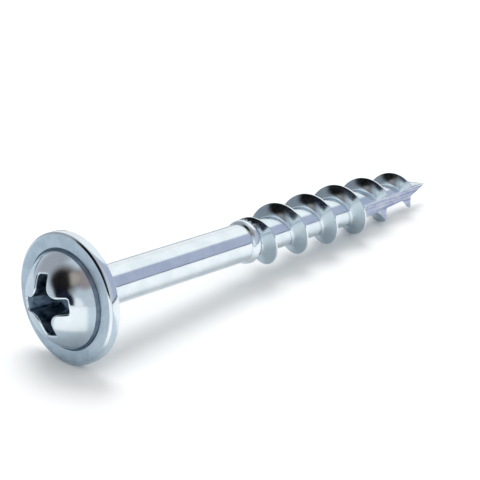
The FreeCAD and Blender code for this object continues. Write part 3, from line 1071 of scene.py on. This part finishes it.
@dataclass
class Table:
    """White table top; what the metal mirrors of it is painted grey on its far side and around the head, a
    painted reflection.
    """

    side: float = 3.0
    colour: Colour = (0.93, 0.94, 0.94)
    # Grey painted into what the metal reflects of the table.
    mirrored: Colour = (0.48, 0.56, 0.62)
    far_edge: Span = (-2.0, 5.0)
    head_edge: Span = (-12.0, -16.0)
    head_share: float = 0.84
    patch_centre: Place = (-17.0, 0.0, 0.0)
    patch_towards: Place = (-0.92, -0.39, 0.0)
    patch_way: Span = (4.8, 6.8)
    patch_spread: Span = (0.76, 0.91)

    def build(self) -> None:
        """Add the table top as a part of the stage."""
        half = self.side / 2
        corners = [(-half, -half, 0), (half, -half, 0), (half, half, 0), (-half, half, 0)]
        mesh = bpy.data.meshes.new("floor")
        mesh.from_pydata(corners, [], [(0, 1, 2, 3)])
        mesh.materials.append(self._material())
        floor = bpy.data.objects.new("floor", mesh)
        bpy.context.scene.collection.objects.link(floor)

    def _material(self) -> bpy.types.Material:
        """Make the white material.

        Returns:
            The material, with grey painted into what the metal reflects of it.
        """
        material = bpy.data.materials.new("white_table")
        material.use_nodes = True
        graph = NodeGraph(material.node_tree)
        # Painted reflection: the grey shows only in glossy rays; to other rays the table stays white.
        glossy = graph.node("ShaderNodeLightPath").outputs["Is Glossy Ray"]
        grey = graph.math("MULTIPLY", self._grey(graph), glossy)
        colour = graph.mix(grey, self.colour, self.mirrored)
        look = {"Base Color": colour, "Roughness": 0.9, "Specular IOR Level": 0.1}
        shader = graph.node("ShaderNodeBsdfPrincipled", None, look)
        graph.node("ShaderNodeOutputMaterial", None, {"Surface": shader.outputs[0]})
        return material

    def _grey(self, graph: NodeGraph) -> Socket:
        """Add the share of painted reflection grey at each place of the table.

        Args:
            graph: Graph of the material.

        Returns:
            The socket with the share: around the head it is grey, a painted shadow in the reflections, but
                for one painted bright patch, and elsewhere grey on the far side.
        """
        position = graph.node("ShaderNodeNewGeometry").outputs["Position"]
        scale = {0: position, "Scale": 1 / MILLIMETRE}
        place = graph.node("ShaderNodeVectorMath", {"operation": "SCALE"}, scale).outputs[0]
        parts = graph.node("ShaderNodeSeparateXYZ", None, {0: place}).outputs
        far = graph.ramp(parts["Y"], *self.far_edge)
        by_head = graph.ramp(parts["X"], *self.head_edge)
        offset = graph.vector("SUBTRACT", place, self.patch_centre).outputs[0]
        way = graph.vector("LENGTH", offset).outputs["Value"]
        facing = graph.dot(graph.vector("NORMALIZE", offset).outputs[0], self.patch_towards)
        patch = graph.math(
            "MULTIPLY", graph.ramp(way, *self.patch_way), graph.ramp(facing, *self.patch_spread)
        )
        around_head = graph.ramp(patch, 0.0, 1.0, (self.head_share, 0.0))
        return graph.node("ShaderNodeMix", None, {0: by_head, 2: far, 3: around_head}).outputs[0]


@dataclass(frozen=True)
class Card:
    """Painted reflection of a card: a patch of colour in the world that only glossy rays see.

    Attributes:
        towards: Direction in which the card hangs.
        wide: Angle in degrees from its middle at which it begins to show.
        narrow: Angle from its middle within which it shows in full.
        colour: Colour of the card.
    """

    towards: Place
    wide: float
    narrow: float
    colour: Colour


# Painted reflections: dark cards for dark reflections, tinted ones, and a bright one for painted highlights.
CARDS = (
    Card((-0.2, 0.8, 0.6), 40, 15, (0.37, 0.39, 0.43)),
    Card((-0.3, -0.48, 0.83), 30, 12, (0.33, 0.28, 0.29)),
    Card((-0.72, 0.08, 0.68), 40, 12, (0.06, 0.045, 0.035)),
    Card((-0.55, -0.22, 0.8), 19, 3, (0.42, 0.37, 0.33)),
    Card((-0.78, 0.18, 0.6), 27, 14, (0.004, 0.003, 0.003)),
    Card((-0.95, 0.03, 0.3), 21, 11, (0.004, 0.004, 0.008)),
    Card((-0.8, -0.58, 0.06), 17, 5, (0.92, 0.97, 1.0)),
    Card((-0.96, -0.2, 0.1), 22, 13, (0.01, 0.012, 0.03)),
    Card((0.67, 0.1, 0.74), 28, 18, (1.05, 1.08, 1.08)),
)


@dataclass
class Surroundings:
    """Even light from all sides; for the metal's reflections, painted wide areas, a painted dark line and
    painted cards.
    """

    light: Colour = (0.85, 0.85, 0.85)
    backdrop: Colour = (1.0, 1.0, 1.0)
    head_side: Colour = (0.58, 0.64, 0.70)
    near_tip_side: Colour = (0.46, 0.50, 0.64)
    far_tip_side: Colour = (1.0, 1.0, 1.0)
    tip_edge: Span = (0.25, 0.5)
    far_edge: Span = (-0.12, 0.02)
    line_colour: Colour = (0.10, 0.11, 0.16)
    line_height: Span = (0.07, 0.03)
    line_start: Span = (-0.2, 0.2)
    cards: tuple[Card, ...] = CARDS

    def build(self) -> None:
        """Set up the world."""
        world = bpy.data.worlds.new("studio")
        bpy.context.scene.world = world
        world.use_nodes = True
        graph = NodeGraph(world.node_tree)
        rays = graph.node("ShaderNodeLightPath").outputs
        # Painted reflections: glossy rays see the areas, cards and dark line; other rays see even light.
        colour = graph.mix(rays["Is Glossy Ray"], self.light, self._painted_reflections(graph))
        colour = graph.mix(rays["Is Camera Ray"], colour, self.backdrop)
        shader = graph.node("ShaderNodeBackground", None, {"Color": colour, "Strength": 1.0})
        graph.node("ShaderNodeOutputWorld", None, {"Surface": shader.outputs[0]})

    def _painted_reflections(self, graph: NodeGraph) -> Socket:
        """Add the painted reflections: what the metal shows of the surroundings, seen only by glossy rays.

        Args:
            graph: Graph of the world.

        Returns:
            The socket with the colour in each direction.
        """
        direction = graph.node("ShaderNodeTexCoord").outputs["Generated"]
        parts = graph.node("ShaderNodeSeparateXYZ", None, {0: direction}).outputs
        tip_side = graph.mix(graph.ramp(parts["Y"], *self.far_edge), self.near_tip_side, self.far_tip_side)
        colour = graph.mix(graph.ramp(parts["X"], *self.tip_edge), self.head_side, tip_side)
        for card in self.cards:
            dot = graph.dot(direction, tuple(Vector(card.towards).normalized()))
            wide, narrow = math.cos(math.radians(card.wide)), math.cos(math.radians(card.narrow))
            colour = graph.mix(graph.ramp(dot, wide, narrow), colour, card.colour)
        low = graph.ramp(parts["Z"], *self.line_height)
        line = graph.math("MULTIPLY", low, graph.ramp(parts["X"], *self.line_start))
        return graph.mix(line, colour, self.line_colour)


@dataclass
class Studio:
    """Table, surroundings, one soft lamp and the camera."""

    camera_place: Place = (-84.0, -76.8, 52.8)
    target: Place = (-1.6, 0.0, 3.4)
    lens: float = 128.0
    sensor_width: float = 36.0
    clip_start: float = 0.005
    lamp_place: Place = (120.0, 160.0, 420.0)
    lamp_size: float = 0.3
    lamp_power: float = 1.0
    table: Table = field(default_factory=Table)
    surroundings: Surroundings = field(default_factory=Surroundings)

    def build(self) -> None:
        """Set up the whole studio."""
        self.table.build()
        self.surroundings.build()
        self._lamp()
        self._camera()
        bpy.context.scene.view_settings.view_transform = "Standard"

    def _aim(self, item: bpy.types.Object, place: Place) -> None:
        """Put a lamp or the camera at a place and turn it to the screw.

        Args:
            item: Lamp or camera.
            place: Its place in millimetres.
        """
        item.location = Vector(place) * MILLIMETRE
        direction = Vector(self.target) * MILLIMETRE - item.location
        item.rotation_euler = direction.to_track_quat("-Z", "Y").to_euler()
        bpy.context.scene.collection.objects.link(item)

    def _lamp(self) -> None:
        """Add the soft lamp that gives the floor its shadow."""
        data = bpy.data.lights.new("soft_lamp", "AREA")
        data.shape = "DISK"
        data.size = self.lamp_size
        data.energy = self.lamp_power
        lamp = bpy.data.objects.new("soft_lamp", data)
        lamp.visible_glossy = False
        self._aim(lamp, self.lamp_place)

    def _camera(self) -> None:
        """Add the camera."""
        data = bpy.data.cameras.new("camera")
        data.lens = self.lens
        data.sensor_width = self.sensor_width
        data.clip_start = self.clip_start
        camera = bpy.data.objects.new("camera", data)
        self._aim(camera, self.camera_place)
        bpy.context.scene.camera = camera


def main() -> None:
    """Build the studio and the screw."""
    logging.basicConfig(level=logging.INFO, format="%(name)s: %(message)s")
    Studio().build()
    screw = PocketScrew().build()
    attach(screw, "root")
    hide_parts("pocket_screw")
    log.info("%s has %d faces", screw.name, len(screw.data.polygons))


if __name__ == "__main__":
    main()
